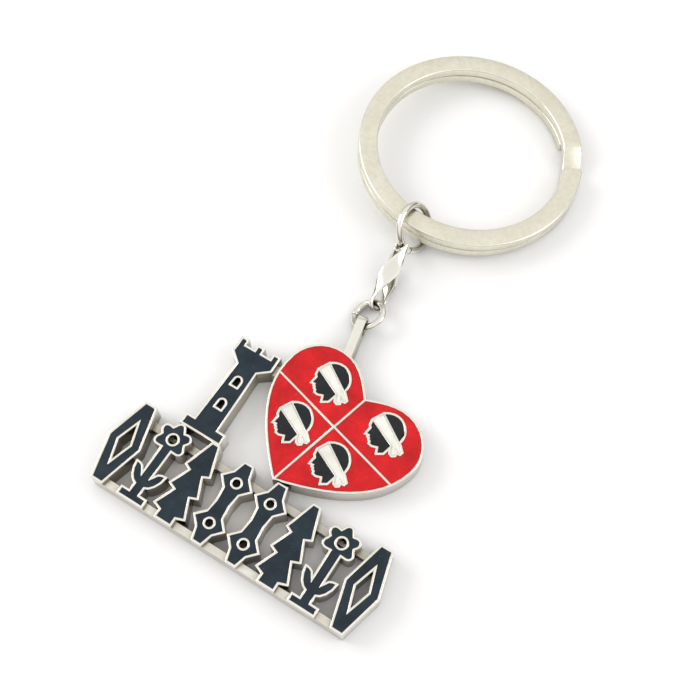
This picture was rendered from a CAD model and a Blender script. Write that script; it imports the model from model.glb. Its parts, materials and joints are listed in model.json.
"""Looks of the souvenir keychain: a cast and enamelled pendant on two jump rings, a link and a split ring.

The pendant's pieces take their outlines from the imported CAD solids, and get rounded rims and a meniscus.
The chain's pieces are bent and twisted anew, finer, round the same centres and joint axes.
Lengths are written in millimetres and brought to metres by MM.
"""
import json
from math import atan2, cos, pi, radians, sin

import bmesh
import bpy
import numpy as np
from mathutils import Matrix, Vector


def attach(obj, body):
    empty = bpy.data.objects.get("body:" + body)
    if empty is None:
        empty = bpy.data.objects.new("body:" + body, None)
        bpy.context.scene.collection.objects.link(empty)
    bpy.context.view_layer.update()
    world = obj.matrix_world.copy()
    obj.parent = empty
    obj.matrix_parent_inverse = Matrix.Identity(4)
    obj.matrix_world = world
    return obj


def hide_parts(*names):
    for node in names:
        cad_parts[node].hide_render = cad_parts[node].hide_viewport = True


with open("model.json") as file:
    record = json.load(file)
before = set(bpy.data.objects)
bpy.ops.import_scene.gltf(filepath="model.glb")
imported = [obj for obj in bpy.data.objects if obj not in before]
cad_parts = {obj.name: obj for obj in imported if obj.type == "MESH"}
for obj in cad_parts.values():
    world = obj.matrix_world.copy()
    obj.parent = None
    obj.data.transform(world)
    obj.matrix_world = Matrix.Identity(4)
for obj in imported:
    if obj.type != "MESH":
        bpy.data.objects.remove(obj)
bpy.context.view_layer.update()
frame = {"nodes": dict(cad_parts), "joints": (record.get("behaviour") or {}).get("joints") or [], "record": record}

MM = 0.001
UP = Vector((0.0, 0.0, 1.0))

# Meshes: corners nearer than WELD are one, and an edge bent by more than SHARP is a hard edge.
# A face is level where its normal's Z is above LEVEL, and a wall where it is below UPRIGHT.
WELD = 0.002
SHARP = radians(35)
LEVEL = 0.9
UPRIGHT = 0.5

# Cast body
RIM_ROUND = 0.08
RIM_SEGMENTS = 3
SAME_PLANE = radians(0.5)

# Enamel: how far it creeps to the wall, and the steps in and down from its edge
WALL_GAP = 0.04
SHARPEST_MITRE = 0.3
MENISCUS = ((0.03, -0.03), (0.03, -0.018), (0.04, -0.009), (0.04, -0.003))

# Jump rings
RING_STEPS = 120
WIRE_SIDES = 24
WIRE_SEAM = 0.12
WIRE_PINCH = 0.93
LOWER_SEAM_ANGLE = radians(200)
UPPER_SEAM_ANGLE = radians(-60)

# Link: the skews turn its two ends about its length, and the powers round its section across and out
LINK_PLAY = 0.31
LINK_THICKNESS = 0.45
LINK_BULGE = 0.1
LINK_END_WIDTH = 0.8
LINK_MID_WIDTH = 2.35
LINK_LOW_SKEW = radians(20)
LINK_HIGH_SKEW = radians(10)
LINK_SIDE_STEPS = 48
LINK_END_STEPS = 16
LINK_SECTION_SIDES = 16
LINK_POWER_ACROSS = 0.7
LINK_POWER_OUT = 0.8

# Split ring
STRIP_WIDTH = 2.65
STRIP_THICKNESS = 1.35
STRIP_SPACE = 0.06
STRIP_ROUND = 0.2
STRIP_OUTER = 16.0
STRIP_END_SIZE = 0.94
STRIP_CORNER_STEPS = 3
TOP_END = radians(21.0)
BOTTOM_END = radians(41.0)
JOGGLE_FROM = radians(39.0)
JOGGLE_TO = radians(22.0)
TURN_STEPS = 220
JOGGLE_STEPS = 24

# Wear of the strip's corners and faces, and how its fine lines are stretched along it and packed across it
CORNER_WORN = 1.0
FACE_WORN = 0.3
LINE_STRETCH = 0.12
LINE_PACKING = 9

# Camera
CAMERA_AZIMUTH = radians(31.93)
CAMERA_ELEVATION = radians(65.45)
CAMERA_DISTANCE = 150.0
CAMERA_TARGET = Vector((-4.64, 11.30, 0.0))
CAMERA_LENS = 57.74

# Colours, as linear red, green and blue
NICKEL = (0.86, 0.84, 0.75)
NICKEL_STAIN = (0.46, 0.42, 0.34)
NICKEL_GRIME = (0.11, 0.085, 0.055)
NICKEL_RUBBED = (0.97, 0.955, 0.91)
WIRE = (0.84, 0.82, 0.74)
WIRE_STAIN = (0.58, 0.54, 0.46)
WIRE_GRIME = (0.13, 0.12, 0.095)
STRIP = (0.88, 0.86, 0.71)
STRIP_CLOUD = (0.77, 0.74, 0.60)
STRIP_SPECKLE = (0.62, 0.59, 0.48)
STRIP_BLOTCH = (0.64, 0.59, 0.43)
STRIP_RUBBED = (0.92, 0.91, 0.86)
STRIP_GRIME = (0.10, 0.09, 0.07)
CARD = ((0.93, 0.93, 0.94), (0.91, 0.91, 0.92))
TENT_LOW = (0.12, 0.11, 0.09)
TENT_HIGH = (1.0, 0.99, 0.97)

# Each enamel's colour, its deeper tone, its dust specks and its roughness
ENAMELS = {
    "navy": ((0.018, 0.034, 0.048), (0.007, 0.014, 0.022), (0.16, 0.20, 0.24), 0.16),
    "red": ((0.74, 0.009, 0.013), (0.46, 0.004, 0.007), (0.8, 0.2, 0.2), 0.18),
    "black": ((0.016, 0.018, 0.021), (0.007, 0.008, 0.010), (0.2, 0.2, 0.22), 0.16),
    "white": ((0.93, 0.92, 0.87), (0.72, 0.70, 0.64), (0.6, 0.58, 0.5), 0.22),
}

joints = {joint["name"]: joint for joint in frame["joints"]}


# ---------------------------------------------------------------- shader nodes

def add_node(tree, kind, inputs=None, **settings):
    """Add a shader node, with its properties set and its inputs fed from values or other nodes' sockets."""
    node = tree.nodes.new(kind)
    for name, value in settings.items():
        setattr(node, name, value)
    for name, value in (inputs or {}).items():
        socket = node.inputs[name]
        if isinstance(value, bpy.types.NodeSocket):
            tree.links.new(value, socket)
        else:
            socket.default_value = value
    return node


def noise(tree, place, cell, detail=3.0, roughness=0.5):
    """Noise whose bumps are about cell millimetres across, from 0 to 1."""
    return add_node(tree, "ShaderNodeTexNoise", {
        "Vector": place, "Scale": 1.0 / (cell * MM), "Detail": detail, "Roughness": roughness,
    }).outputs["Fac"]


def remap(tree, value, low, high, from_low=0.0, from_high=1.0):
    """Value brought from the range from_low to from_high to the range low to high, and held inside it."""
    return add_node(tree, "ShaderNodeMapRange", {
        "Value": value, "From Min": from_low, "From Max": from_high, "To Min": low, "To Max": high,
    }).outputs["Result"]


def combine(tree, operation, first, second=0.0):
    """Two values put together by one of the shader's arithmetic operations."""
    return add_node(tree, "ShaderNodeMath", {0: first, 1: second}, operation=operation).outputs["Value"]


def mix(tree, share, first, second):
    """A colour between first and second."""
    node = add_node(tree, "ShaderNodeMix", data_type="RGBA")
    for slot, value in ((0, share), (6, first), (7, second)):
        if isinstance(value, bpy.types.NodeSocket):
            tree.links.new(value, node.inputs[slot])
        elif slot == 0:
            node.inputs[slot].default_value = value
        else:
            node.inputs[slot].default_value = (*value, 1.0)
    return node.outputs[2]


def bump(tree, height, depth, before=None):
    """A bump of about depth millimetres, laid over an earlier one."""
    node = add_node(tree, "ShaderNodeBump", {"Height": height, "Distance": depth * MM})
    if before:
        tree.links.new(before, node.inputs["Normal"])
    return node.outputs["Normal"]


def open_air(tree, reach):
    """1 out in the open, falling to 0 where other surfaces close in within reach millimetres."""
    return add_node(tree, "ShaderNodeAmbientOcclusion", {"Distance": reach * MM}, samples=6).outputs["AO"]


def material(name):
    """A new material, its node tree and its shader."""
    look = bpy.data.materials.new(name)
    look.use_nodes = True
    return look, look.node_tree, look.node_tree.nodes["Principled BSDF"]


def feed(tree, shader, **inputs):
    """Set the shader's inputs from sockets, colours or plain values; an underscore stands for a space."""
    for name, value in inputs.items():
        socket = shader.inputs[name.replace("_", " ")]
        if isinstance(value, bpy.types.NodeSocket):
            tree.links.new(value, socket)
        elif isinstance(value, tuple):
            socket.default_value = (*value, 1.0)
        else:
            socket.default_value = value


# ---------------------------------------------------------------- materials

def on_walls(tree):
    """1 on a piece's upright walls and 0 on its flat faces."""
    normal = add_node(tree, "ShaderNodeTexCoord").outputs["Normal"]
    rise = add_node(tree, "ShaderNodeSeparateXYZ", {"Vector": normal}).outputs["Z"]
    return remap(tree, combine(tree, "ABSOLUTE", rise), 1.0, 0.0, 0.2, 0.7)


def plated_metal(name, colour, stain, grime, roughness, wave, grain, dull_walls):
    """Nickel plate: uneven polish, grimy in the corners and rubbed bright on the edges."""
    look, tree, shader = material(name)
    place = add_node(tree, "ShaderNodeTexCoord").outputs["Object"]
    pointed = add_node(tree, "ShaderNodeNewGeometry").outputs["Pointiness"]
    worn = remap(tree, pointed, 0.0, 1.0, 0.5, 0.56)
    openness = open_air(tree, 2.6)
    cloud = noise(tree, place, 2.5, 4.0, 0.6)
    tone = mix(tree, remap(tree, cloud, 0.0, 0.25, 0.3, 0.7), colour, stain)
    tone = mix(tree, combine(tree, "MULTIPLY", on_walls(tree), dull_walls), tone, stain)
    tone = mix(tree, combine(tree, "MULTIPLY", worn, 0.7), tone, NICKEL_RUBBED)
    feed(tree, shader, Base_Color=mix(tree, remap(tree, openness, 0.9, 0.0, 0.1, 0.97), tone, grime))
    rough = remap(tree, noise(tree, place, 1.2, 5.0, 0.65), roughness * 0.7, roughness * 1.5, 0.3, 0.7)
    rough = combine(tree, "SUBTRACT", rough, combine(tree, "MULTIPLY", worn, 0.06))
    relief = bump(tree, noise(tree, place, 1.6, 2.0), wave)
    relief = bump(tree, noise(tree, place, 0.12, 3.0), grain, relief)
    feed(tree, shader, Roughness=rough, Metallic=1.0, Normal=relief)
    return look


def satin_strip(name):
    """Spring steel strip, satin plated: fine lines run along the strip, its edges are rubbed bright."""
    look, tree, shader = material(name)
    place = add_node(tree, "ShaderNodeTexCoord").outputs["Object"]
    along = add_node(tree, "ShaderNodeAttribute", attribute_name="along_strip").outputs["Vector"]
    lines = noise(tree, along, 1.0, 3.0, 0.7)
    speckle = noise(tree, place, 0.16, 3.0, 0.7)
    cloud = noise(tree, place, 5.0, 3.0)
    blotch = noise(tree, place, 0.7, 4.0, 0.6)
    worn = add_node(tree, "ShaderNodeAttribute", attribute_name="edge").outputs["Fac"]
    openness = open_air(tree, 0.5)
    tone = mix(tree, remap(tree, cloud, 0.0, 1.0, 0.3, 0.7), STRIP, STRIP_CLOUD)
    tone = mix(tree, remap(tree, speckle, 0.0, 0.55, 0.35, 0.75), tone, STRIP_SPECKLE)
    tone = mix(tree, remap(tree, blotch, 0.0, 0.5, 0.42, 0.68), tone, STRIP_BLOTCH)
    tone = mix(tree, combine(tree, "MULTIPLY", worn, 0.6), tone, STRIP_RUBBED)
    tone = mix(tree, remap(tree, openness, 1.0, 0.0, 0.3, 0.85), tone, STRIP_GRIME)
    rough = remap(tree, lines, 0.30, 0.46, 0.3, 0.7)
    rough = combine(tree, "SUBTRACT", rough, combine(tree, "MULTIPLY", worn, 0.14))
    relief = bump(tree, lines, 0.009)
    relief = bump(tree, speckle, 0.006, relief)
    feed(tree, shader, Base_Color=tone, Roughness=rough, Metallic=1.0, Normal=relief)
    return look


def enamel_look(name, colour, deep, speck, roughness):
    """Baked soft enamel: glossy, a little uneven in colour, with a few dust specks under the gloss."""
    look, tree, shader = material(name)
    place = add_node(tree, "ShaderNodeTexCoord").outputs["Object"]
    cloud = noise(tree, place, 3.0, 4.0, 0.6)
    tone = mix(tree, remap(tree, cloud, 0.0, 1.0, 0.3, 0.7), colour, deep)
    openness = open_air(tree, 0.6)
    tone = mix(tree, remap(tree, openness, 0.7, 0.0, 0.2, 0.8), tone, deep)
    dust = remap(tree, noise(tree, place, 0.22, 2.0), 0.0, 0.6, 0.70, 0.76)
    feed(tree, shader, Base_Color=mix(tree, dust, tone, speck))
    rough = remap(tree, noise(tree, place, 0.8, 4.0), roughness * 0.7, roughness * 1.6, 0.3, 0.7)
    relief = bump(tree, noise(tree, place, 1.3, 2.0), 0.035)
    relief = bump(tree, noise(tree, place, 0.2, 2.0), 0.003, relief)
    feed(tree, shader, Roughness=rough, Normal=relief, IOR=1.35)
    return look


def floor_look():
    """Pale matt card with a faint tooth."""
    look, tree, shader = material("pale_card")
    place = add_node(tree, "ShaderNodeTexCoord").outputs["Object"]
    tone = mix(tree, noise(tree, place, 40.0, 2.0), *CARD)
    feed(tree, shader, Base_Color=tone, Roughness=0.9, Normal=bump(tree, noise(tree, place, 0.5), 0.01))
    return look


# ---------------------------------------------------------------- meshes

def cad_shell(node):
    """A CAD node's mesh with its vertices welded."""
    shell = bmesh.new()
    shell.from_mesh(frame["nodes"][node].data)
    bmesh.ops.remove_doubles(shell, verts=shell.verts, dist=WELD * MM)
    shell.normal_update()
    return shell


def finish_piece(name, shell, look, body, node, flat=()):
    """Turn a shell into a piece that rides on a body and stands for a CAD node; flat faces stay flat."""
    bmesh.ops.recalc_face_normals(shell, faces=shell.faces)
    shell.faces.index_update()
    flat_numbers = [face.index for face in flat]
    mesh = bpy.data.meshes.new(name)
    shell.to_mesh(mesh)
    shell.free()
    mesh.materials.append(look)
    mesh.set_sharp_from_angle(angle=SHARP)
    for number in flat_numbers:
        mesh.polygons[number].use_smooth = False
    piece = bpy.data.objects.new(name, mesh)
    bpy.context.scene.collection.objects.link(piece)
    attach(piece, body)
    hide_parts(node)
    return piece


def keep_flats(piece):
    """Shade the flat faces flat, so that only the rounded rims between them look round."""
    weighted = piece.modifiers.new("flat_faces", "WEIGHTED_NORMAL")
    weighted.keep_sharp = True


def cast_body(look):
    """The casting with every outer edge rounded, as it leaves the tumbler."""
    shell = cad_shell("pendant_body")
    bmesh.ops.dissolve_limit(shell, angle_limit=SAME_PLANE, verts=shell.verts, edges=shell.edges)
    edges = [e for e in shell.edges if e.is_manifold and e.is_convex and e.calc_face_angle() > SHARP]
    bmesh.ops.bevel(shell, geom=edges, offset=RIM_ROUND * MM, segments=RIM_SEGMENTS, profile=0.5,
                    affect="EDGES", clamp_overlap=False, loop_slide=True)
    piece = finish_piece("cast_body", shell, look, "pendant", "pendant_body")
    keep_flats(piece)
    return piece


def wall_moves(shell):
    """Where each corner goes when the upright walls move out by one; sharp corners are held back."""
    moves = {}
    for corner in shell.verts:
        walls = [face.normal for face in corner.link_faces if abs(face.normal.z) < UPRIGHT]
        first = walls[0]
        last = min(walls, key=first.dot)
        moves[corner] = (first + last) / max(SHARPEST_MITRE, 1.0 + first.dot(last))
    return moves


def open_top(shell):
    """Take the flat top off, and give back the edges round the opening."""
    top = {face for face in shell.faces if face.normal.z > LEVEL}
    rim = [edge for edge in shell.edges if len(top.intersection(edge.link_faces)) == 1]
    bmesh.ops.delete(shell, geom=list(top), context="FACES")
    return rim


def pour(node, look):
    """Enamel that wets the walls round it and sinks a little towards its middle."""
    shell = cad_shell(node)
    moves = wall_moves(shell)
    for corner, move in moves.items():
        corner.co += move * WALL_GAP * MM
    rim = open_top(shell)
    inner = {corner: corner for edge in rim for corner in edge.verts}
    for inwards, down in MENISCUS:
        outer = inner
        inner = {corner: shell.verts.new(place.co + (UP * down - moves[corner] * inwards) * MM)
                 for corner, place in outer.items()}
        for edge in rim:
            near, far = edge.verts
            shell.faces.new((outer[near], outer[far], inner[far], inner[near]))
    brim = [shell.edges.get([inner[corner] for corner in edge.verts]) for edge in rim]
    bmesh.ops.triangle_fill(shell, edges=brim, use_beauty=True, normal=UP)
    brim_corners = set(inner.values())
    middle = [face for face in shell.faces if brim_corners.issuperset(face.verts)]
    return finish_piece(node.replace("enamel", "pour"), shell, look, "pendant", node, flat=middle)


def ring_plane(node):
    """Centre, axis and wire size of a CAD ring, measured from its mesh."""
    places = np.array([v.co for v in frame["nodes"][node].data.vertices])
    centre = (places.min(0) + places.max(0)) / 2
    axis = np.linalg.svd(places - centre, full_matrices=False)[2][2]
    axis = axis * np.sign(axis[2])
    heights = (places - centre) @ axis
    reach = np.linalg.norm(places - centre - np.outer(heights, axis), axis=1)
    return Vector(centre), Vector(axis), (reach.max() + reach.min()) / 2, (reach.max() - reach.min()) / 2


def tube(shell, rows, closed):
    """Skin a row of equal loops of points, and cap its ends unless it is closed."""
    loops = [[shell.verts.new(point) for point in row] for row in rows]
    pairs = list(zip(loops, loops[1:]))
    if closed:
        pairs.append((loops[-1], loops[0]))
    for near, far in pairs:
        for i in range(len(near)):
            j = (i + 1) % len(near)
            shell.faces.new((near[i], near[j], far[j], far[i]))
    if not closed:
        shell.faces.new(loops[0])
        shell.faces.new(loops[-1])


def jump_ring(node, seam_angle, look, body):
    """A ring bent from round wire, its cut ends slightly pinched and not quite touching."""
    centre, axis, radius, wire = ring_plane(node)
    turn = UP.rotation_difference(axis).to_matrix()
    half_seam = WIRE_SEAM * MM / radius / 2
    rows = []
    for i in range(RING_STEPS + 1):
        angle = seam_angle + half_seam + (2 * pi - 2 * half_seam) * i / RING_STEPS
        pinch = WIRE_PINCH if i in (0, RING_STEPS) else 1.0
        out = Vector((cos(angle), sin(angle), 0.0))
        row = []
        for k in range(WIRE_SIDES):
            side = 2 * pi * k / WIRE_SIDES
            reach = radius + wire * pinch * cos(side)
            row.append(centre + turn @ (out * reach + UP * wire * pinch * sin(side)))
        rows.append(row)
    shell = bmesh.new()
    tube(shell, rows, False)
    return finish_piece(node + "_wire", shell, look, body, node)


def bulged(share, power):
    """A share from -1 to 1, pushed outwards by a power below 1."""
    return abs(share) ** power * (1 if share > 0 else -1)


def pillow(width, thickness):
    """A flat section with crowned faces and round edges, as (across, out) pairs."""
    angles = [2 * pi * k / LINK_SECTION_SIDES for k in range(LINK_SECTION_SIDES)]
    return [(bulged(cos(angle), LINK_POWER_ACROSS) * width / 2,
             bulged(sin(angle), LINK_POWER_OUT) * thickness / 2) for angle in angles]


def twisted_link(look):
    """A band closed round both jump rings, broad in its middle and twisted along its length."""
    low, high = (Vector(joints[name]["pos_m"]) / MM for name in ("link_swing", "upper_ring_swing"))
    low_run, high_run = (Vector(joints[name]["axis"]) for name in ("link_swing", "upper_ring_swing"))
    wire = ring_plane("lower_jump_ring")[3] / MM
    axis = (high - low).normalized()
    half = (high - low).length / 2
    low_skew = Matrix.Rotation(-LINK_LOW_SKEW, 3, axis)
    high_skew = Matrix.Rotation(-LINK_HIGH_SKEW, 3, axis)
    start = low_skew @ (low_run - axis * low_run.dot(axis)).normalized()
    finish = high_skew @ (high_run - axis * high_run.dot(axis)).normalized()
    twist = atan2(start.cross(finish).dot(axis), start.dot(finish))
    end_radius = wire + LINK_PLAY + LINK_THICKNESS / 2
    path = []
    for side in (1, -1):
        for i in range(LINK_SIDE_STEPS):
            x = side * (half - 2 * half * i / LINK_SIDE_STEPS)
            path.append((x, side * (end_radius + LINK_BULGE * cos(pi * x / half / 2) ** 2), pi / 2 * side))
        for i in range(LINK_END_STEPS):
            angle = side * (pi / 2 + pi * i / LINK_END_STEPS)
            path.append((-side * half + end_radius * cos(angle), end_radius * sin(angle), angle))
    rows = []
    for x, y, angle in path:
        reach = max(-1.0, min(1.0, x / half))
        across = Matrix.Rotation(twist * (reach + 1) / 2, 3, axis) @ start
        rise = axis.cross(across)
        width = LINK_END_WIDTH + (LINK_MID_WIDTH - LINK_END_WIDTH) * cos(pi * reach / 2) ** 2
        out = axis * cos(angle) - rise * sin(angle)
        centre = (low + high) / 2 + axis * x - rise * y
        rows.append([(centre + across * a + out * b) * MM for a, b in pillow(width, LINK_THICKNESS)])
    shell = bmesh.new()
    tube(shell, rows, True)
    return finish_piece("leaf_link", shell, look, "link", "twisted_link")


def strip_section():
    """Rounded rectangle of the strip, as (out, up, worn) triples."""
    points = []
    for corner, (right, up) in enumerate(((1, 1), (-1, 1), (-1, -1), (1, -1))):
        for k in range(STRIP_CORNER_STEPS + 1):
            angle = pi / 2 * (corner + k / STRIP_CORNER_STEPS)
            points.append((right * (STRIP_WIDTH / 2 - STRIP_ROUND) + STRIP_ROUND * cos(angle),
                           up * (STRIP_THICKNESS / 2 - STRIP_ROUND) + STRIP_ROUND * sin(angle),
                           CORNER_WORN if 0 < k < STRIP_CORNER_STEPS else FACE_WORN))
    return points


def strip_stations():
    """Angle, height and scale of the strip's sections along its two turns."""
    step_from = JOGGLE_FROM - 2 * pi
    step_to = JOGGLE_TO - 2 * pi
    finish = BOTTOM_END - 4 * pi
    rise = (STRIP_THICKNESS + STRIP_SPACE) / 2
    angles = [TOP_END + (step_from - TOP_END) * i / TURN_STEPS for i in range(TURN_STEPS)]
    angles += [step_from + (step_to - step_from) * i / JOGGLE_STEPS for i in range(JOGGLE_STEPS)]
    angles += [step_to + (finish - step_to) * i / TURN_STEPS for i in range(TURN_STEPS + 1)]
    stations = []
    for number, angle in enumerate(angles):
        part = min(1.0, max(0.0, (angle - step_from) / (step_to - step_from)))
        at_end = number in (0, len(angles) - 1)
        stations.append((angle, rise * cos(pi * part), STRIP_END_SIZE if at_end else 1.0))
    return stations


def split_ring(look):
    """Flat strip wound two turns, stepping from the upper turn to the lower at the joggle."""
    centre = Vector(joints["split_ring_turn"]["pos_m"])
    turn = UP.rotation_difference(Vector(joints["split_ring_turn"]["axis"])).to_matrix()
    middle = STRIP_OUTER - STRIP_WIDTH / 2
    section = strip_section()
    rows, along, wear = [], [], []
    for angle, height, size in strip_stations():
        out = Vector((cos(angle), sin(angle), 0.0))
        rows.append([centre + turn @ (out * (middle + a * size) + UP * (height + b * size)) * MM
                     for a, b, _ in section])
        run = angle * middle * LINE_STRETCH
        along += [(run * MM, a * LINE_PACKING * MM, (b + height) * LINE_PACKING * MM) for a, b, _ in section]
        wear += [worn for _, _, worn in section]
    shell = bmesh.new()
    tube(shell, rows, False)
    piece = finish_piece("split_ring_strip", shell, look, "split_ring", "split_ring")
    lines = piece.data.attributes.new("along_strip", "FLOAT_VECTOR", "POINT")
    lines.data.foreach_set("vector", [value for place in along for value in place])
    worn_edges = piece.data.attributes.new("edge", "FLOAT", "POINT")
    worn_edges.data.foreach_set("value", wear)
    return piece


# ---------------------------------------------------------------- stage

def floor():
    """A pale floor that rises far away into a sweep."""
    shell = bmesh.new()
    half, bend, lift, steps = 1500.0, 600.0, 900.0, 12
    profile = [(-half, 0.0), (bend, 0.0)]
    for i in range(1, steps + 1):
        angle = pi / 2 * i / steps
        profile.append((bend + lift * sin(angle), lift * (1 - cos(angle))))
    rows = [[shell.verts.new(Vector((side * half, y, z)) * MM) for side in (-1, 1)] for y, z in profile]
    for near, far in zip(rows, rows[1:]):
        shell.faces.new((near[0], near[1], far[1], far[0]))
    mesh = bpy.data.meshes.new("floor")
    shell.to_mesh(mesh)
    shell.free()
    mesh.shade_smooth()
    mesh.materials.append(floor_look())
    sheet = bpy.data.objects.new("floor", mesh)
    bpy.context.scene.collection.objects.link(sheet)
    sheet.rotation_euler.z = CAMERA_AZIMUTH


def aim(thing, place, target):
    """Put a lamp or camera at a place, looking at a target."""
    thing.location = place * MM
    thing.rotation_euler = (target - place).to_track_quat("-Z", "Y").to_euler()
    bpy.context.scene.collection.objects.link(thing)


def soft_box(name, place, size, power, colour):
    """A rectangular lamp that lights the middle of the keychain."""
    data = bpy.data.lights.new(name, "AREA")
    data.shape = "RECTANGLE"
    data.size = size[0] * MM
    data.size_y = size[1] * MM
    data.energy = power
    data.color = colour
    aim(bpy.data.objects.new(name, data), place, CAMERA_TARGET)


def seen_from_camera(right, away, up):
    """A place given from the camera's aim: to its right, away from it, and up."""
    across = Vector((cos(CAMERA_AZIMUTH), sin(CAMERA_AZIMUTH), 0.0))
    forward = Vector((-sin(CAMERA_AZIMUTH), cos(CAMERA_AZIMUTH), 0.0))
    return CAMERA_TARGET + across * right + forward * away + UP * up


def studio():
    """A light tent: soft light from all round, a little darker low down, and two soft boxes."""
    world = bpy.data.worlds.new("tent")
    bpy.context.scene.world = world
    world.use_nodes = True
    tree = world.node_tree
    direction = add_node(tree, "ShaderNodeTexCoord").outputs["Generated"]
    height = add_node(tree, "ShaderNodeSeparateXYZ", {"Vector": direction}).outputs["Z"]
    shade = remap(tree, height, 0.0, 1.0, 0.05, 0.6)
    tone = mix(tree, shade, TENT_LOW, TENT_HIGH)
    tree.links.new(tone, tree.nodes["Background"].inputs["Color"])
    soft_box("key_box", seen_from_camera(-320.0, 120.0, 260.0), (260.0, 200.0), 0.6, (1.0, 0.985, 0.96))
    soft_box("fill_box", seen_from_camera(300.0, -60.0, 240.0), (160.0, 240.0), 0.25, (0.97, 0.985, 1.0))


def camera():
    """The camera, which looks down on the keychain from its lower right."""
    data = bpy.data.cameras.new("camera")
    data.lens = CAMERA_LENS
    data.clip_start = 1.0 * MM
    level = cos(CAMERA_ELEVATION)
    back = Vector((sin(CAMERA_AZIMUTH) * level, -cos(CAMERA_AZIMUTH) * level, sin(CAMERA_ELEVATION)))
    eye = bpy.data.objects.new("camera", data)
    aim(eye, CAMERA_TARGET + back * CAMERA_DISTANCE, CAMERA_TARGET)
    bpy.context.scene.camera = eye


# ---------------------------------------------------------------- the keychain

def pendant():
    """The casting, and the enamel poured into its pockets."""
    cast_body(plated_metal("plated_casting", NICKEL, NICKEL_STAIN, NICKEL_GRIME,
                           roughness=0.2, wave=0.05, grain=0.006, dull_walls=0.9))
    looks = {f"{name}_enamel": enamel_look(f"{name}_gloss", *tones) for name, tones in ENAMELS.items()}
    for part in frame["record"]["subparts"]:
        node, slot = part["node"], part["material_slot"]
        if slot in looks:
            pour(node, looks[slot])


def chain():
    """The two jump rings, the link between them and the split ring."""
    polished = plated_metal("polished_wire", WIRE, WIRE_STAIN, WIRE_GRIME,
                            roughness=0.11, wave=0.02, grain=0.002, dull_walls=0.0)
    jump_ring("lower_jump_ring", LOWER_SEAM_ANGLE, polished, "lower_ring")
    twisted_link(polished)
    jump_ring("upper_jump_ring", UPPER_SEAM_ANGLE, polished, "upper_ring")
    split_ring(satin_strip("satin_strip"))


pendant()
chain()
floor()
studio()
camera()
bpy.context.scene.view_settings.view_transform = "Standard"

bpy.context.view_layer.update()
